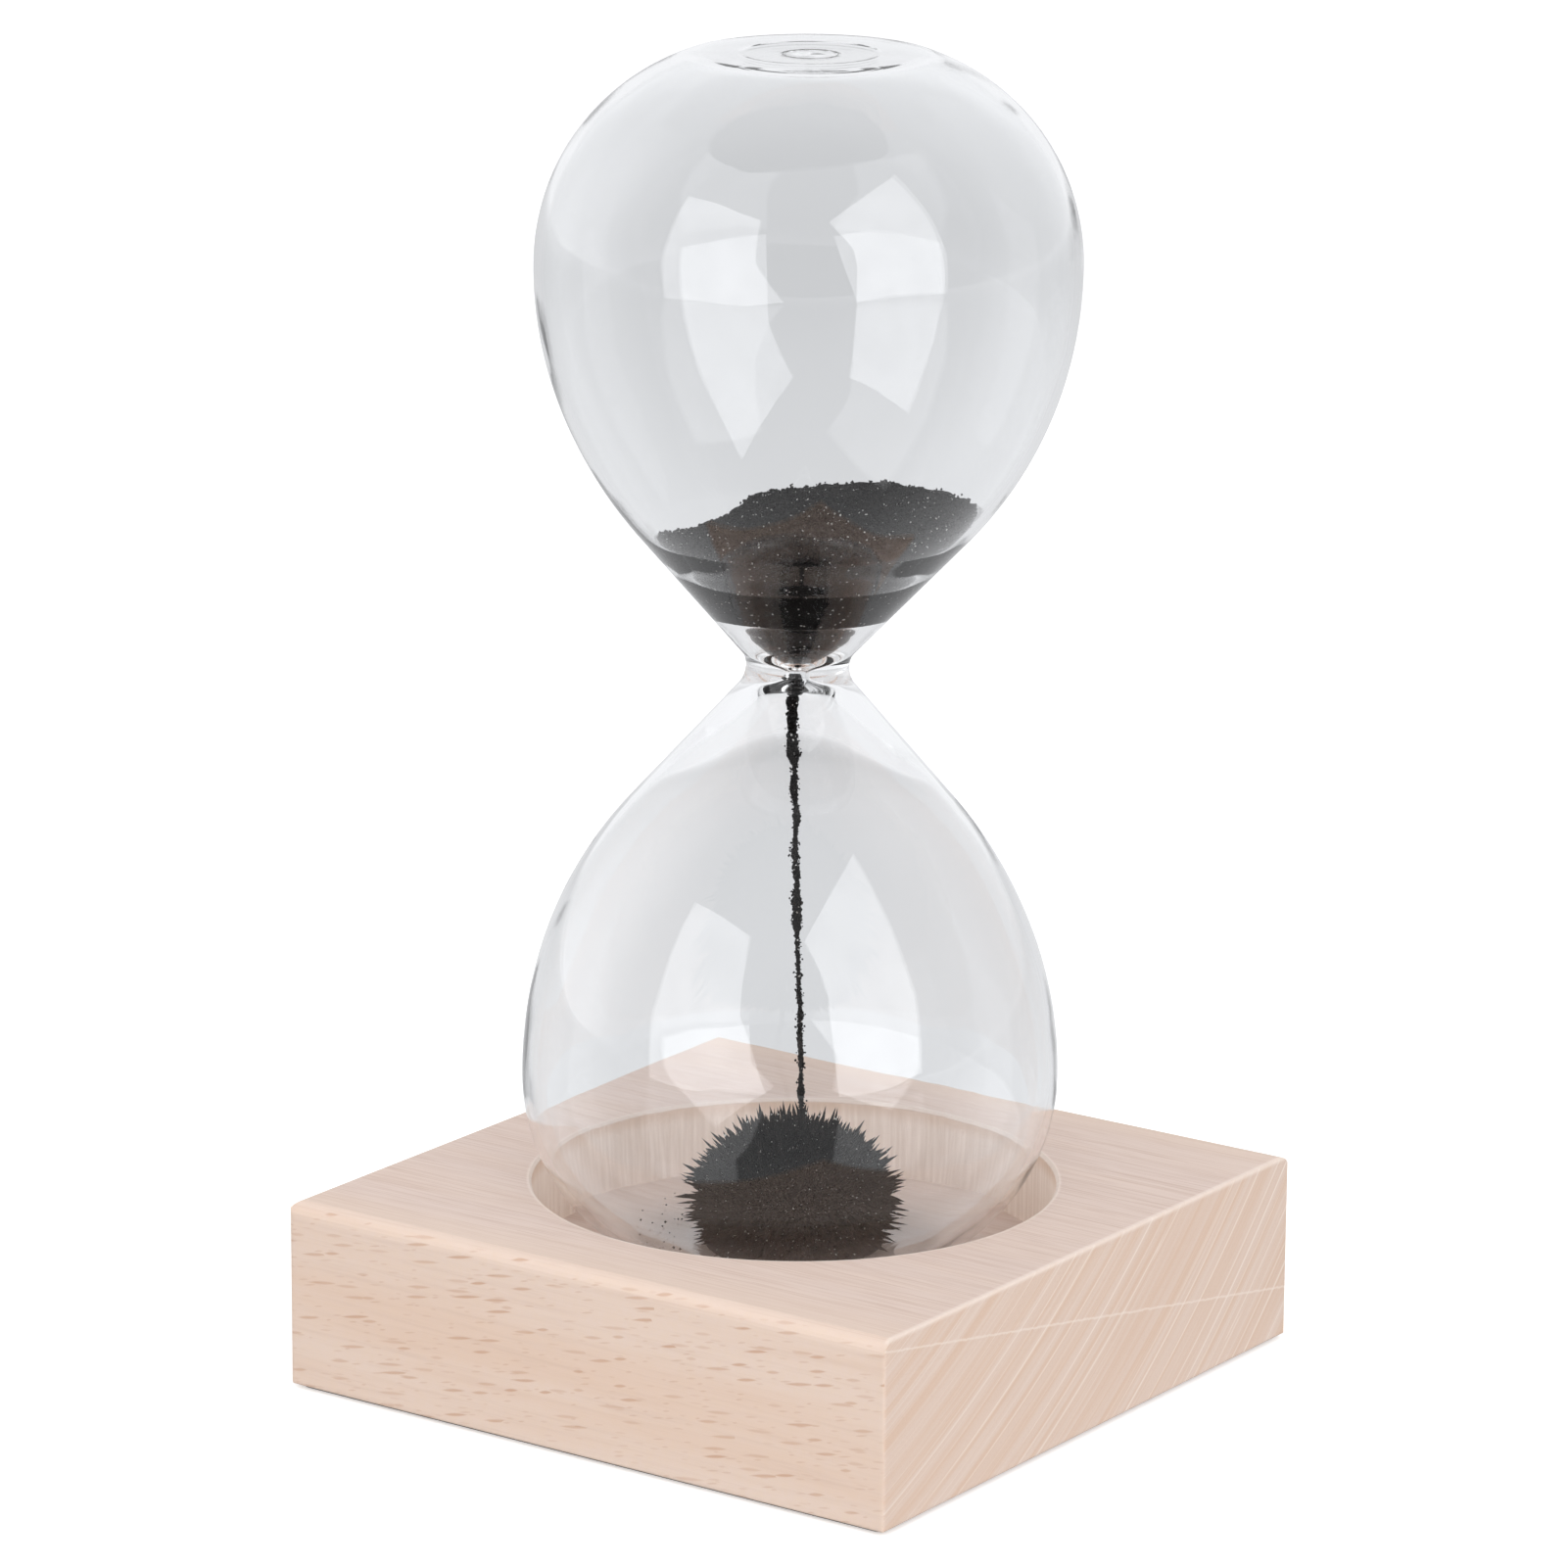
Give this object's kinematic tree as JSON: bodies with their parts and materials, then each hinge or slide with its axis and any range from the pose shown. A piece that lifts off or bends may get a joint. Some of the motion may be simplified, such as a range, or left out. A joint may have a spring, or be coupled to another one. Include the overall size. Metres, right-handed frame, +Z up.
{
  "type": "magnetic hourglass",
  "caption": "Sealed glass hourglass of iron powder, standing in a recess in a square wooden base whose hidden magnet draws the falling powder into a spiky clump.",
  "frame": {"origin": "centre of the underside of the base", "axes": "+Z up along the hourglass; X along the wood's grain, +X to the end-grain face; Y across the grain"},
  "size_m": [0.08, 0.08, 0.1479],
  "materials": {
    "beech": "sanded beech, unvarnished, with fine brown flecks along the grain",
    "magnet": "nickel plated",
    "adhesive": "hot-melt adhesive, cloudy",
    "liner": "thin dark felt",
    "glass": "clear blown glass",
    "iron_powder": "coarse dark iron powder with bright grains"
  },
  "bodies": {
    "base": {"base_block": "beech", "base_magnet": "magnet", "magnet_glue": "adhesive", "base_liner": "liner"},
    "glass": {"glass_vessel": "glass", "fill_seal": "glass", "powder_heap": "iron_powder", "powder_stream": "iron_powder", "powder_clump": "iron_powder", "stray_grains": "iron_powder"}
  },
  "joints": [
    {"name": "glass_lift", "type": "slide", "parent": "base", "child": "glass", "axis": [0, 0, 1], "range_m": [0, 0.05]}
  ]
}
